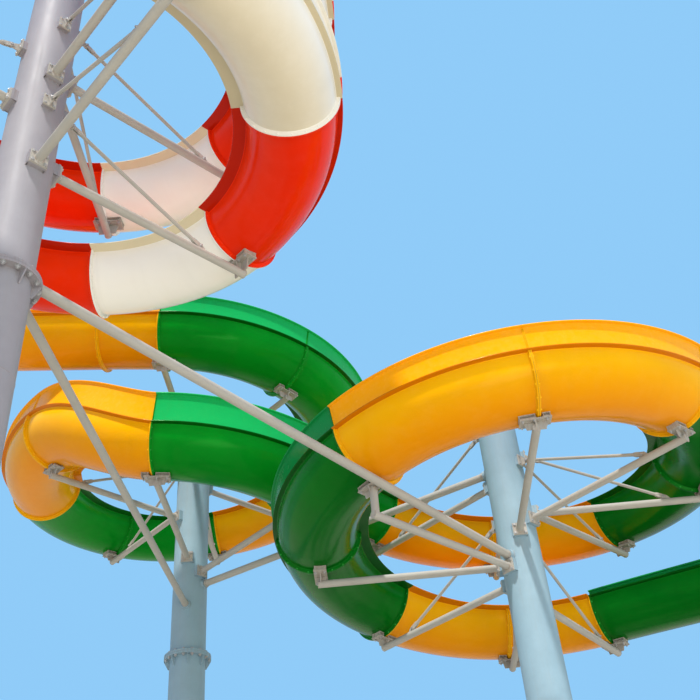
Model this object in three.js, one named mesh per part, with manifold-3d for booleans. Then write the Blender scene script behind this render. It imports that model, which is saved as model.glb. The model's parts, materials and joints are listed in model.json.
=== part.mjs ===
// Water slide tower: three steel columns that carry a green and orange flume and a red and white ring.
// Millimetres, +Z up. The origin is on the ground under the middle of the right column.
import * as THREE from "three";
import { mergeVertices } from "three/addons/utils/BufferGeometryUtils.js";
import Module from "manifold-3d";

const wasm = await Module();
wasm.setup();

// Driving sizes. Plan positions and heights are in turn radii, taken from the ground point below.
const TURN_R = 2500; // middle line radius of the turns round the left and right columns
const MIDDLE_R = 0.96 * TURN_R; // the same for the middle column
const EYE_Z = 1600; // level from which the heights below are counted
const COLUMN_R = 254;
const RIGHT = new THREE.Vector2(0, 0);
const MIDDLE = new THREE.Vector2(-1.84, 0.928).multiplyScalar(TURN_R);
const LEFT = new THREE.Vector2(-1.898, -2.123).multiplyScalar(TURN_R);
const level = (h) => EYE_Z + TURN_R * h;

// Flume sections
const SLIDE_R = 510; // outside radius of the half round trough, green and orange flume
const RING_R = 450; // the same for the red and white flume
const SHELL = 20;
const SHOULDER = 60; // lip outside the foot of a wall
const PLAIN_LIP = 130; // lip along an edge that has no wall
const BANK = 310; // high wall on the outside of a turn
const BANK_HIGH = 440; // the same where the flume drops steeply
const BANK_LEAN = 35; // how far the high wall leans outward
const RIM = 40; // lip along the top of the high wall
const LOW = 70; // wall height where a high wall fades out
const JOINT_GAP = 1.2; // between two runs of flume
const ARC_STEPS = 4; // straight pieces in a bay of 45 degrees
const ROUND_STEPS = 8; // straight pieces in the half round

// Steelwork
const ARM_R = 45;
const ARM_END = 40; // how far an arm runs on past the middle of its saddle
const TIE_R = 50;
const THIN_TIE_R = 45; // the tie beam between the left and middle columns
const COLLAR = 30; // length of the collars at the ends of a tie beam
const COLLAR_EDGE = 4;
const OVER_ARM = 665; // shoulder of the flume over the arm axis
const SADDLE_L = 350; // saddle plate along the flume
const SADDLE_W = 160; // saddle plate across the flume
const SADDLE_DEEP = 65; // underside of the saddle plate below the trough
const SADDLE_RISE = 35; // how far the plate's sides reach up the trough
const WEB = 20; // webs between an arm and its saddle plate
const WEB_SHARE = 0.7; // length of the long web, as a share of the plate
const PAD_FACE = 300; // flat bolting faces on a column, from its axis
const PLATE = 20;
const PLATE_W = 170;
const PLATE_H = 160;
const PAD_EDGE = 10; // how far a bolting pad shows round its plate
const ROD_R = 20;
const ROD_UP = 850; // height of a rod's upper end over its arm
const ROD_OUT = 0.84; // where a rod meets its arm, as a share of the reach
const ROD_FACE = 292; // bolting faces for the rods, from the column axis
const ROD_PLATE_W = 130;
const ROD_PLATE_H = 150;
const LUG = 16; // thickness of the plates and lugs of the rods
const LUG_W = 120;
const LUG_H = 110;
const SOCKET_R = 70; // short sockets on the columns that the tie beams end in
const SOCKET_FACE = 290; // outer end of a socket, from the column axis
const INSIDE = 120; // pads and sockets start this far from the column axis
const GAP = 0.4;

// Columns
const COLUMN_SIDES = 24;
const CAP = 20; // thickness of the cap plate
const CAP_EDGE = 30;
const SPLICE = 60; // thickness of the bolted ring
const SPLICE_EDGE = 80;
const BASE_W = 900;
const BASE = 40;
const RIB = 24;
const RIB_REACH = 420; // ribs of the base, out from the column axis
const RIB_TOP = 450;
const RIB_TOE = 40; // height of a rib at its outer end
const SINK = 10; // how deep ribs, beams and rods start inside what carries them

const deg = THREE.MathUtils.degToRad;
const group = new THREE.Group();
const material = {
  orange: new THREE.MeshStandardMaterial({ name: "orange_gelcoat", color: 0xf9ad0a, roughness: 0.2 }),
  green: new THREE.MeshStandardMaterial({ name: "green_gelcoat", color: 0x0a952c, roughness: 0.2 }),
  red: new THREE.MeshStandardMaterial({ name: "red_gelcoat", color: 0xd41c0c, roughness: 0.2 }),
  white: new THREE.MeshStandardMaterial({ name: "white_gelcoat", color: 0xf4efe6, roughness: 0.25 }),
  column: new THREE.MeshStandardMaterial({ name: "column_paint", color: 0xdfe9f0, roughness: 0.4 }),
  steel: new THREE.MeshStandardMaterial({ name: "arm_paint", color: 0xd9d6cc, roughness: 0.45 }),
};

// A closed solid from points and triangles, turned so that its faces look outward.
function solidFrom(points, triangles) {
  const make = (tris) =>
    new wasm.Manifold(
      new wasm.Mesh({
        numProp: 3,
        vertProperties: new Float32Array(points),
        triVerts: new Uint32Array(tris),
      }),
    );
  const made = make(triangles);
  if (made.volume() > 0) return made;
  const turned = [];
  for (let i = 0; i < triangles.length; i += 3)
    turned.push(triangles[i], triangles[i + 2], triangles[i + 1]);
  return make(turned);
}

function solidOf(geometry) {
  const bare = geometry.index ? geometry.toNonIndexed() : geometry;
  const plain = new THREE.BufferGeometry().setAttribute("position", bare.getAttribute("position"));
  const merged = mergeVertices(plain, 1e-3);
  return solidFrom(merged.attributes.position.array, merged.index.array);
}

function addNode(name, solid, look) {
  const mesh = solid.getMesh();
  const stride = mesh.numProp;
  const out = new Float32Array(mesh.numVert * 3);
  for (let i = 0; i < mesh.numVert; i++)
    out.set(mesh.vertProperties.subarray(i * stride, i * stride + 3), i * 3);
  const geometry = new THREE.BufferGeometry()
    .setAttribute("position", new THREE.BufferAttribute(out, 3))
    .setIndex(new THREE.BufferAttribute(mesh.triVerts, 1));
  const node = new THREE.Mesh(geometry, look);
  node.name = name;
  group.add(node);
}

const join = (solids) => solids.reduce((a, b) => a.add(b));

function box(w, d, h, x, y, z) {
  return solidOf(new THREE.BoxGeometry(w, d, h).translate(x, y, z));
}

// A round bar between two points.
function bar(from, to, radius, sides = 10) {
  const along = to.clone().sub(from);
  const up = new THREE.Vector3(0, 1, 0);
  const turn = new THREE.Quaternion().setFromUnitVectors(up, along.clone().normalize());
  const geometry = new THREE.CylinderGeometry(radius, radius, along.length(), sides)
    .applyQuaternion(turn)
    .translate(...from.clone().add(to).multiplyScalar(0.5));
  return solidOf(geometry);
}

// Unit vector from a column towards an azimuth: 0 looks to -Y, 90 to -X.
const toward = (az) => new THREE.Vector2(-Math.sin(deg(az)), -Math.cos(deg(az)));

// Flume section, u to the right of travel and w up from the shoulder. A wall of height 0 is a plain lip.
function section(radius, left, right) {
  const inner = radius - SHELL;
  const side = (h, s) => {
    const edge = radius + (h === 0 ? PLAIN_LIP : SHOULDER);
    const lip = [[s * radius, -SHELL], [s * edge, -SHELL], [s * edge, 0]];
    if (h === 0) return [...lip, [s * inner, 0]];
    const lean = (BANK_LEAN * h) / BANK;
    return [
      ...lip,
      [s * (radius + 2), 0],
      [s * (radius + lean), h - SHELL],
      [s * (radius + lean + RIM), h - SHELL],
      [s * (radius + lean + RIM), h],
      [s * (inner + lean), h],
      [s * inner, 0],
    ];
  };
  const arc = (r, from, to) => {
    const points = [];
    for (let i = 1; i < ROUND_STEPS; i++) {
      const t = from + ((to - from) * i) / ROUND_STEPS;
      points.push([r * Math.sin(t), -r * Math.cos(t)]);
    }
    return points;
  };
  const half = Math.PI / 2;
  const outside = arc(radius, -half, half);
  const inside = arc(inner, half, -half);
  return [...outside, ...side(right, 1), ...inside, ...side(left, -1).reverse()];
}

// The room the trough fills, solid: saddles are cut with it.
function filled(radius) {
  const points = [];
  for (let i = 0; i <= ROUND_STEPS; i++) {
    const t = -Math.PI / 2 + (Math.PI * i) / ROUND_STEPS;
    points.push([radius * Math.sin(t), -radius * Math.cos(t)]);
  }
  return points;
}

// Sweep a section along stations {x, y, z, r, slope, roll}, r being the unit vector to the right of travel.
// The sections stand square to the path, so they lean forward where it falls. Roll lifts the right side.
function sweep(stations, sections) {
  const n = sections[0].length;
  const points = [];
  stations.forEach((s, i) => {
    const size = Math.hypot(1, s.slope);
    const lean = s.slope / size;
    const cos = Math.cos(s.roll);
    const sin = Math.sin(s.roll);
    sections[i].forEach(([a, b]) => {
      const u = a * cos - b * sin;
      const w = a * sin + b * cos;
      points.push(s.x + u * s.r.x + w * lean * s.r.y, s.y + u * s.r.y - w * lean * s.r.x, s.z + w / size);
    });
  });
  const triangles = [];
  for (let i = 0; i + 1 < stations.length; i++)
    for (let j = 0; j < n; j++) {
      const a = i * n + j;
      const b = i * n + ((j + 1) % n);
      triangles.push(a, b, b + n, a, b + n, a + n);
    }
  const last = (stations.length - 1) * n;
  const cap = (at) =>
    THREE.ShapeUtils.triangulateShape(sections[at].map((p) => new THREE.Vector2(...p)), []);
  cap(0).forEach(([a, b, c]) => triangles.push(a, c, b));
  cap(stations.length - 1).forEach(([a, b, c]) => triangles.push(last + a, last + b, last + c));
  return solidFrom(points, triangles);
}

// A bay between two joints. plan(t) gives the place and the right hand side at a share t of the bay.
// Heights follow a smooth curve that has the wanted slopes at both joints.
function bay(plan, length, steps, from, to) {
  return Array.from({ length: steps + 1 }, (_, i) => {
    const t = i / steps;
    const rise = to.z - from.z;
    const a = from.slope * length;
    const b = to.slope * length;
    const z = from.z + a * t + (3 * rise - 2 * a - b) * t * t + (a + b - 2 * rise) * t * t * t;
    const slope = (a + 2 * (3 * rise - 2 * a - b) * t + 3 * (a + b - 2 * rise) * t * t) / length;
    return { ...plan(t), z, slope };
  });
}

// Plans of a bay. dir is +1 where the azimuth grows downhill and the outer side is on the left.
function turnPlan(centre, radius, from, to, dir, rollAt = () => 0) {
  return {
    length: deg(Math.abs(to - from)) * radius,
    steps: Math.max(2, Math.round((Math.abs(to - from) / 45) * ARC_STEPS)),
    plan: (t) => {
      const az = from + (to - from) * t;
      const out = toward(az);
      const x = centre.x + radius * out.x;
      const y = centre.y + radius * out.y;
      return { x, y, r: out.multiplyScalar(-dir), roll: rollAt(az) };
    },
  };
}

function straightPlan(a, b) {
  const r = new THREE.Vector2(b.y - a.y, a.x - b.x).normalize();
  return {
    length: Math.hypot(b.x - a.x, b.y - a.y),
    steps: 1,
    plan: (t) => ({ x: a.x + (b.x - a.x) * t, y: a.y + (b.y - a.y) * t, r, roll: 0 }),
  };
}

// Bays of a whole flume from its plans and the shoulder level at each joint. A joint falls as gently
// as the gentler of its two bays.
function flume(plans, levels) {
  const slopes = plans.map((p, i) => (levels[i + 1] - levels[i]) / p.length);
  const joints = levels.map((z, i) => ({
    z,
    slope: Math.max(slopes[Math.max(0, i - 1)], slopes[Math.min(i, plans.length - 1)]),
  }));
  return plans.map((p, i) => bay(p.plan, p.length, p.steps, joints[i], joints[i + 1]));
}

// A run of flume: bays with wall heights at both ends, pulled in by half the joint gap at its ends.
function run(name, radius, bays, look) {
  const stations = [];
  const walls = [];
  bays.forEach(({ stations: list, walls: [l0, r0, l1, r1] }, k) =>
    list.forEach((s, i) => {
      if (k > 0 && i === 0) return;
      const t = i / (list.length - 1);
      stations.push({ ...s });
      walls.push([l0 + (l1 - l0) * t, r0 + (r1 - r0) * t]);
    }),
  );
  const pull = (at, next) => {
    const a = stations[at];
    const b = stations[next];
    const f = JOINT_GAP / 2 / Math.hypot(b.x - a.x, b.y - a.y);
    stations[at] = { ...a, x: a.x + (b.x - a.x) * f, y: a.y + (b.y - a.y) * f, z: a.z + (b.z - a.z) * f };
  };
  const end = stations.length - 1;
  pull(0, 1);
  pull(end, end - 1);
  addNode(name, sweep(stations, walls.map(([l, r]) => section(radius, l, r))), look);
}

// Trough room around one joint, from the bays on both sides of it.
function troughAt(radius, before, after) {
  const list = [...(before ? before.slice(-2) : []), ...(after ? after.slice(before ? 1 : 0, 2) : [])];
  return sweep(list, list.map(() => filled(radius))).translate([0, 0, -GAP]);
}

// One support: wall plate, arm, saddle under the joint and, where wanted, a rod from the column.
// The saddle lies along the flume and follows its fall. Its middle can be shifted along the flume.
function arm(name, centre, az, radius, before, after, options = {}) {
  const { rod = true, post = 0, reach = TURN_R, long = SADDLE_L, shift = 0 } = options;
  const joint = after ? after[0] : before.at(-1);
  const trough = troughAt(radius, before, after);
  const z = joint.z - OVER_ARM - post;
  const rise = post + OVER_ARM - radius;
  const from = PAD_FACE + GAP;
  const local = (r, h) => new THREE.Vector3(0, -r, h);
  const pieces = [
    box(PLATE_W, PLATE, PLATE_H, 0, -from - PLATE / 2, 0),
    bar(local(from + PLATE / 2, 0), local(reach + ARM_END, 0), ARM_R),
    box(WEB_SHARE * long, WEB, rise - post, shift, -reach, (post + rise) / 2),
    box(WEB, SADDLE_W, rise - post, 0, -reach, (post + rise) / 2),
  ];
  if (post > 0) pieces.push(bar(local(reach, 0), local(reach, rise), ARM_R));
  const fall = THREE.MathUtils.radToDeg(Math.atan(joint.slope)) * (joint.r.dot(toward(az)) > 0 ? -1 : 1);
  const saddle = box(long, SADDLE_W, SADDLE_DEEP + SADDLE_RISE, shift, 0, (SADDLE_RISE - SADDLE_DEEP) / 2)
    .rotate([0, fall, 0])
    .translate([0, -reach, rise]);
  if (rod) {
    const foot = reach * ROD_OUT;
    pieces.push(bar(local(ROD_FACE + SINK, ROD_UP), local(foot, SINK), ROD_R, 6));
    pieces.push(box(ROD_PLATE_W, LUG, ROD_PLATE_H, 0, -ROD_FACE - LUG / 2, ROD_UP));
    pieces.push(box(LUG, LUG_W, LUG_H, 0, -foot, 30));
  }
  const place = (s) => s.rotate([0, 0, -az]).translate([centre.x, centre.y, z]);
  const seat = place(saddle).subtract(trough);
  addNode(name, place(join(pieces)).subtract(trough).add(seat), material.steel);
  return { az, z, rod };
}

// A column with its base plate, cap, splice ring, bolting pads and tie sockets.
function column(name, centre, height, splice, arms, sockets) {
  const ring = (r, low, high) =>
    solidOf(
      new THREE.CylinderGeometry(r, r, high - low, COLUMN_SIDES)
        .rotateX(Math.PI / 2)
        .translate(0, 0, (low + high) / 2),
    );
  const pieces = [
    ring(COLUMN_R, BASE / 2, height),
    box(BASE_W, BASE_W, BASE, 0, 0, BASE / 2),
    ring(COLUMN_R + CAP_EDGE, height - CAP, height),
    ring(COLUMN_R + SPLICE_EDGE, splice - SPLICE / 2, splice + SPLICE / 2),
  ];
  const toe = BASE - SINK + RIB_TOE;
  const outline = [
    [0, BASE - SINK], [RIB_REACH, BASE - SINK], [RIB_REACH, toe], [COLUMN_R + 10, RIB_TOP], [0, RIB_TOP],
  ];
  for (let i = 0; i < 4; i++) {
    const rib = new THREE.Shape(outline.map((p) => new THREE.Vector2(...p)));
    const solid = solidOf(
      new THREE.ExtrudeGeometry(rib, { depth: RIB, bevelEnabled: false })
        .translate(0, 0, -RIB / 2)
        .rotateX(Math.PI / 2),
    );
    pieces.push(solid.rotate([0, 0, 90 * i]));
  }
  const pad = (width, height, face, az, z) =>
    pieces.push(box(width, face - INSIDE, height, 0, -(INSIDE + face) / 2, z).rotate([0, 0, -az]));
  arms.forEach(({ az, z, rod }) => {
    pad(PLATE_W + 2 * PAD_EDGE, PLATE_H, PAD_FACE, az, z);
    if (rod) pad(ROD_PLATE_W - PAD_EDGE, ROD_PLATE_W - PAD_EDGE, ROD_FACE - GAP, az, z + ROD_UP);
  });
  sockets.forEach(({ az, z }) => {
    const at = (r) => new THREE.Vector3(0, -r, z);
    pieces.push(bar(at(INSIDE), at(SOCKET_FACE - GAP / 2), SOCKET_R, 16).rotate([0, 0, -az]));
  });
  addNode(name, join(pieces).translate([centre.x, centre.y, 0]), material.column);
}

// A tie beam between the sockets of two columns, with a collar at each end.
function tie(name, a, za, b, zb, radius = TIE_R) {
  const flat = b.clone().sub(a).normalize();
  const at = (from, out, z) => new THREE.Vector3(from.x + out * flat.x, from.y + out * flat.y, z);
  const face = SOCKET_FACE + GAP / 2;
  const inner = face + COLLAR - SINK;
  const pieces = [
    bar(at(a, face, za), at(a, face + COLLAR, za), radius + COLLAR_EDGE, 16),
    bar(at(a, inner, za), at(b, -inner, zb), radius),
    bar(at(b, -face, zb), at(b, -face - COLLAR, zb), radius + COLLAR_EDGE, 16),
  ];
  addNode(name, join(pieces), material.steel);
}

// Azimuth from one column to another.
function bearing(a, b) {
  return THREE.MathUtils.radToDeg(Math.atan2(-(b.x - a.x), -(b.y - a.y)));
}

// Green and orange flume, downhill: a straight start, a turn and a bit round the middle column,
// a straight crossing, nearly a turn and a half round the right column and a straight end.
const shoulderAt = (h) => level(h) + OVER_ARM;
const middleAz = [0, -45, -90, -135, -180, -225, -270, -315, -360];
const middleLevels = [3.505, 3.43, 3.365, 3.3, 3.235, 3.165, 3.105, 3.035, 2.735, 2.65];
const rightAz = [-180, -135, -90, -45, 0, 45, 90, 135, 180, 214];
const rightLevels = [2.59, 2.52, 2.45, 2.38, 2.31, 2.24, 2.17, 2.1, 2.03, 1.96, 1.93];
const entryLevels = [3.62, 3.545];
const exitLevels = [1.88, 1.83];
const crossAngle = THREE.MathUtils.radToDeg(Math.acos((TURN_R + MIDDLE_R) / MIDDLE.distanceTo(RIGHT)));
middleAz.push(bearing(MIDDLE, RIGHT) + crossAngle - 360);
rightAz.unshift(bearing(RIGHT, MIDDLE) + crossAngle - 360);

// The flume is banked where it drops steeply.
const ROLL = 20;
const ROLL_FROM = -285;
const ROLL_TO = -360;
const middleRoll = (az) => {
  const share = (az - ROLL_FROM) / (ROLL_TO - ROLL_FROM);
  return share > 0 && share < 1 ? deg(ROLL) * Math.sin(Math.PI * share) : 0;
};
const middlePlans = middleAz
  .slice(1)
  .map((az, i) => turnPlan(MIDDLE, MIDDLE_R, middleAz[i], az, -1, middleRoll));
const rightPlans = rightAz.slice(1).map((az, i) => turnPlan(RIGHT, TURN_R, rightAz[i], az, 1));
const onward = (s, length) => ({ x: s.x - s.r.y * length, y: s.y + s.r.x * length });
const bayLength = (TURN_R * Math.PI) / 4;
const first = middlePlans[0].plan(0);
const last = rightPlans.at(-1).plan(1);
const entryPoints = [onward(first, -0.36 * TURN_R - bayLength), onward(first, -0.36 * TURN_R), first];
const exitPoints = [last, onward(last, bayLength), onward(last, 2 * bayLength)];
const plans = [
  straightPlan(entryPoints[0], entryPoints[1]),
  straightPlan(entryPoints[1], entryPoints[2]),
  ...middlePlans,
  straightPlan(middlePlans.at(-1).plan(1), rightPlans[0].plan(0)),
  ...rightPlans,
  straightPlan(exitPoints[0], exitPoints[1]),
  straightPlan(exitPoints[1], exitPoints[2]),
];
const levels = [...entryLevels, ...middleLevels, ...rightLevels, ...exitLevels].map(shoulderAt);
const slide = flume(plans, levels);
const middleStart = 2;
const crossing = middleStart + middlePlans.length;
const rightStart = crossing + 1;

// Wall heights at the start and end of each bay: left, right, left, right.
const wallsOf = (k) => {
  if (k === 0) return [LOW, LOW, LOW, LOW];
  if (k === 1) return [LOW, LOW, LOW, BANK];
  if (k === middleStart + 6) return [0, BANK, 0, BANK_HIGH];
  if (k === middleStart + 7) return [0, BANK_HIGH, 0, BANK_HIGH];
  if (k === middleStart + 8) return [LOW, BANK_HIGH, LOW, BANK_HIGH];
  if (k < crossing) return [0, BANK, 0, BANK];
  if (k === crossing) return [LOW, BANK_HIGH, BANK, LOW];
  if (k < rightStart + rightPlans.length) return [BANK, 0, BANK, 0];
  return k === plans.length - 1 ? [LOW, LOW, LOW, LOW] : [BANK, LOW, LOW, LOW];
};
const part = (from, count) =>
  Array.from({ length: count }, (_, i) => ({ stations: slide[from + i], walls: wallsOf(from + i) }));
const looks = [material.green, material.orange];
run("flume_entry", SLIDE_R, part(0, 2), material.orange);
for (let i = 0; i < 4; i++)
  run(`flume_mid_${i + 1}`, SLIDE_R, part(middleStart + 2 * i, 2), looks[i % 2]);
run("flume_crossing", SLIDE_R, part(middleStart + 8, 2), material.green);
for (let i = 0; i < 5; i++)
  run(`flume_right_${i + 1}`, SLIDE_R, part(rightStart + 2 * i, 2), looks[(i + 1) % 2]);
run("flume_exit", SLIDE_R, part(plans.length - 2, 2), material.green);

// Arms of the middle and right columns, numbered by joint
const bareJoint = 6;
const middleArms = middleAz.flatMap((az, m) => {
  if (m === bareJoint) return [];
  const k = middleStart + m;
  const options = { rod: m >= 4 && m < 8, reach: MIDDLE_R };
  return [arm(`arm_mid_${m + 1}`, MIDDLE, az, SLIDE_R, slide[k - 1], slide[k], options)];
});
const postArm = 6;
// It sits lower, with an upright post, to clear the tie beam.
const lowArm = { post: 260, long: 230, shift: -60 };
const rightArms = rightAz.map((az, n) => {
  const k = rightStart + n;
  const options = { rod: ![5, 6, 7].includes(n), ...(n === postArm ? lowArm : {}) };
  return arm(`arm_right_${n + 1}`, RIGHT, az, SLIDE_R, slide[k - 1], slide[k], options);
});

// Red and white flume: a turn and a half round the left column
const ringBays = 12;
const ringAz = Array.from({ length: ringBays + 1 }, (_, i) => -225 + 45 * i);
const ringLevels = ringAz.map((_, i) => shoulderAt(3.605 - 0.07 * i + 0.02 * Math.max(0, i - 10)));
const ring = flume(ringAz.slice(1).map((az, i) => turnPlan(LEFT, TURN_R, ringAz[i], az, 1)), ringLevels);
ring.forEach((stations, i) =>
  run(`ring_bay_${i + 1}`, RING_R, [{ stations, walls: [BANK, 0, BANK, 0] }],
    i % 2 === 0 ? material.red : material.white),
);
const leftArms = [1, 2, 4, 6, 8, 10, 12].map((i, k) =>
  arm(`arm_left_${k + 1}`, LEFT, ringAz[i], RING_R, ring[i - 1], ring[i]),
);

// Tie beams and columns
const tieLR = [level(2.34), level(2.125)];
const tieLM = [level(2.34), level(2.44)];
const tieMR = [level(2.585), level(2.655)];
tie("tie_left_right", LEFT, tieLR[0], RIGHT, tieLR[1]);
tie("tie_left_mid", LEFT, tieLM[0], MIDDLE, tieLM[1], THIN_TIE_R);
tie("tie_mid_right", MIDDLE, tieMR[0], RIGHT, tieMR[1]);
column("column_right", RIGHT, level(3.05), level(1.2), rightArms, [
  { az: bearing(RIGHT, LEFT), z: tieLR[1] }, { az: bearing(RIGHT, MIDDLE), z: tieMR[1] },
]);
column("column_mid", MIDDLE, level(3.62), level(2.154), middleArms, [
  { az: bearing(MIDDLE, LEFT), z: tieLM[1] }, { az: bearing(MIDDLE, RIGHT), z: tieMR[0] },
]);
column("column_left", LEFT, level(4.3), level(2.285), leftArms, [
  { az: bearing(LEFT, RIGHT), z: tieLR[0] }, { az: bearing(LEFT, MIDDLE), z: tieLM[0] },
]);

export default group;
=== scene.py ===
"""Looks of the water slide tower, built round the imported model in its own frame. Metres, +Z up."""
import json
from collections import namedtuple
from math import acos, atan2, cos, degrees, exp, pi, radians, sin, sqrt, tan

import bmesh
import bpy
from mathutils import Matrix, Vector


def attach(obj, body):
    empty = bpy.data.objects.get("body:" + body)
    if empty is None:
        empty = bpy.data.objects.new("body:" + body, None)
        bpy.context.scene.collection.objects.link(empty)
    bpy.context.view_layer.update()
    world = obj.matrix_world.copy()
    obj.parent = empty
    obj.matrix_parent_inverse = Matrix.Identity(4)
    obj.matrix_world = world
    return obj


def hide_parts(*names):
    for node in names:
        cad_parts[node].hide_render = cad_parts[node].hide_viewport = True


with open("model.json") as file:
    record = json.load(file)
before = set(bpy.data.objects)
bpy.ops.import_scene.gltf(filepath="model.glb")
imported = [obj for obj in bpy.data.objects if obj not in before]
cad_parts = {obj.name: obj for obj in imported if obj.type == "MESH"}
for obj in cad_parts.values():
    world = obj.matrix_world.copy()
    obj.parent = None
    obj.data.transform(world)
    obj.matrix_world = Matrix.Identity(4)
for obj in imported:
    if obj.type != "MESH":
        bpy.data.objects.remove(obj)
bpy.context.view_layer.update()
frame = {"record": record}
OUT, ACROSS, UP = Vector((1, 0, 0)), Vector((0, 1, 0)), Vector((0, 0, 1))

# Driving sizes of the flumes, the same as the solids have. Levels are in turn radii above EYE_Z.
TURN_R = 2.5
MIDDLE_R = 0.96 * TURN_R
EYE_Z = 1.6  # height of the camera
SLIDE_R = 0.51
RING_R = 0.45
SHELL = 0.02
SHOULDER = 0.06  # lip outside the foot of a wall
PLAIN_LIP = 0.13  # lip along an edge that has no wall
BANK = 0.31  # wall on the outside of a turn
BANK_HIGH = 0.44  # the same on the steep drop
BANK_LEAN = 0.035  # how far out the top of a wall leans where it is BANK high
RIM = 0.0398
LOW = 0.07  # wall along the straights
ROUND, LIP_ROUND = 0.012, 0.008  # fillets of the moulding
SEAM = 0.0006  # half the gap between two bays
BAY_TURN = 45  # degrees round a column
TURN_STEPS = 24
STRAIGHT_STEPS = 12
ROUND_STEPS = 34
MIDDLE_LEVELS = [3.505, 3.43, 3.365, 3.3, 3.235, 3.165, 3.105, 3.035, 2.735, 2.65]
RIGHT_LEVELS = [2.59, 2.52, 2.45, 2.38, 2.31, 2.24, 2.17, 2.1, 2.03, 1.96, 1.93]
ENTRY_LEVELS = [3.62, 3.545]
EXIT_LEVELS = [1.88, 1.83]
ENTRY_RUN = 0.36 * TURN_R  # last straight before the middle turn
RIGHT_END = 214.0  # azimuth where the right turn ends
ROLL, ROLL_FROM, ROLL_TO = radians(20), -285, -360  # bank of the middle turn where it drops
RING_BAYS = 12
RING_LEVELS = [3.605 - 0.07 * i + 0.02 * max(0, i - 10) for i in range(RING_BAYS + 1)]

# Marks that the gel coats read from the flumes
SHADED_LIP_MARK = -1.0  # lips carry painted shade: a darker tone for their undersides, which face down
WALL_MARK = 1.0
BEAD_MARK = 0.3
JOINT_FADE = 0.09  # how far the grime of a joint reaches
WEAR_HALF = 0.36  # half width of the worn ride path
JOINT_GRIME = 0.75
CAP_GRIME = 0.6

# Driving sizes of the steelwork
COLUMN_R = 0.254
ROOT_R = 0.2  # start of parts welded to a column
COLUMN_SIDES = 96
PIPE_SIDES = 40
ARM_R = 0.045
ARM_END = 0.04  # how far an arm runs on past the middle of its saddle
TIE_R = 0.05
THIN_TIE_R = 0.045
ROD_R = 0.02
SOCKET_R = 0.07
OVER_ARM = 0.665  # arm axis to the shoulder of the flume
SADDLE_L, SADDLE_W = 0.35, 0.16
PAD_FACE = 0.3  # face of a bolting pad, from the column axis
PLATE = 0.02
PLATE_W, PLATE_H = 0.17, 0.16
ROD_UP = 0.85
ROD_OUT = 0.84
SOCKET_FACE = 0.29  # face of a tie socket, from the column axis
GAP = 0.0004  # left between solids that are bolted face to face
POST, POST_SADDLE, POST_SHIFT = 0.26, 0.23, 0.06  # height of the post, length and shift of its saddle
JOINT_BOLTS = range(-80, 81, 16)  # degrees from the bottom of the trough
JOINT_ROW = 0.028  # trough to the row of bolts
FLANGE_FACE = 0.0205  # half thickness of a flume joint
SHOE_START = 0.036  # joint to the strap of a saddle, clear of the flange
SADDLE_DROP = 0.053  # trough to the top of the saddle plate
SADDLE_PLATE = 0.012  # its thickness
SHOE_HALF = 0.075  # half width of the strap under the trough
WEB = 0.006  # half thickness of webs, lugs and gussets
ROD_PLATE_W, ROD_PLATE_H, ROD_PLATE = 0.13, 0.15, 0.016
ROD_PAD, ROD_PAD_OUT = 0.12, 0.0375  # side and height of the block that a rod's plate is bolted to
ROD_STAND = 0.056  # start of a rod's line, from the column's skin
FORK_L, FORK_R = 0.075, 0.028  # pin to the tube, and half width of a fork
COLLAR, COLLAR_EDGE = 0.03, 0.004  # length and half thickness
CAP, CAP_EDGE = 0.02, 0.03  # thickness and overhang
SPLICE, SPLICE_EDGE, SPLICE_BOLTS = 0.03, 0.08, 16  # half thickness, reach and bolts of the rings
GIRTH_WELDS = (0.34, 0.86)  # as shares of the splice's height
SEAM_TURN = radians(70)  # where the long seam of a column lies, counted from +X
BASE_HALF, BASE = 0.45, 0.04
RIB, RIB_REACH, RIB_TOP = 0.012, 0.42, 0.42  # half thickness, reach and top

# Levels of the columns and ties, in turn radii above EYE_Z
RIGHT_TOP, RIGHT_SPLICE = 3.05, 1.2
MIDDLE_TOP, MIDDLE_SPLICE = 3.62, 2.154
LEFT_TOP, LEFT_SPLICE = 4.3, 2.285
TIE_LEFT_RIGHT = (2.34, 2.125)
TIE_LEFT_MIDDLE = (2.34, 2.44)
TIE_MIDDLE_RIGHT = (2.585, 2.655)

# Numbers of the joints with arms and rods
BARE_JOINT = 6  # the joint of the middle turn without an arm
MIDDLE_RODS = range(4, 8)
POST_ARM = 6
RIGHT_WITHOUT_ROD = (5, 6, 7)
LEFT_ARMS = (1, 2, 4, 6, 8, 10, 12)

# Shank diameters of the bolts
BOLT, SMALL_BOLT, SCREW, SPLICE_BOLT, ANCHOR = 0.018, 0.013, 0.008, 0.024, 0.036

# Camera, fitted to the photograph
CAMERA_PLACE = (-1.885, -11.145, EYE_Z)
CAMERA_PITCH = radians(38.6)
CAMERA_ROLL = radians(5.2)
CAMERA_LENS = 49.9

# Colours of dirt, rust and sky
SOIL = (0.10, 0.08, 0.04)
RAIN_DIRT = (0.34, 0.31, 0.26, 1.0)
PAINT_RUST = (0.24, 0.105, 0.04, 1.0)
ZINC_RUST = (0.27, 0.12, 0.05, 1.0)
SKY_LIGHT = (0.40, 0.53, 0.70, 1)  # lights the tower
SKY_SEEN = (0.28, 0.60, 0.94, 1)  # shows behind it

MOUNTS = {m["name"]: Vector(m["pos_m"][:2]) for m in frame["record"]["mounts"]}
RIGHT, MIDDLE, LEFT = MOUNTS["base_right"], MOUNTS["base_middle"], MOUNTS["base_left"]


# Shapes: each is a list of points and a list of faces

def loft(rings, closed=False):
    """A body through rings of as many points each, with flat ends, or closed round to its first ring."""
    n, count = len(rings[0]), len(rings)
    points = [p for ring in rings for p in ring]
    faces = []
    for i in range(count if closed else count - 1):
        for j in range(n):
            k, m = (i + 1) % count, (j + 1) % n
            faces.append((i * n + j, i * n + m, k * n + m, k * n + j))
    if not closed:
        faces += [tuple(reversed(range(n))), tuple(range(count * n - n, count * n))]
    return points, faces


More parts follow.
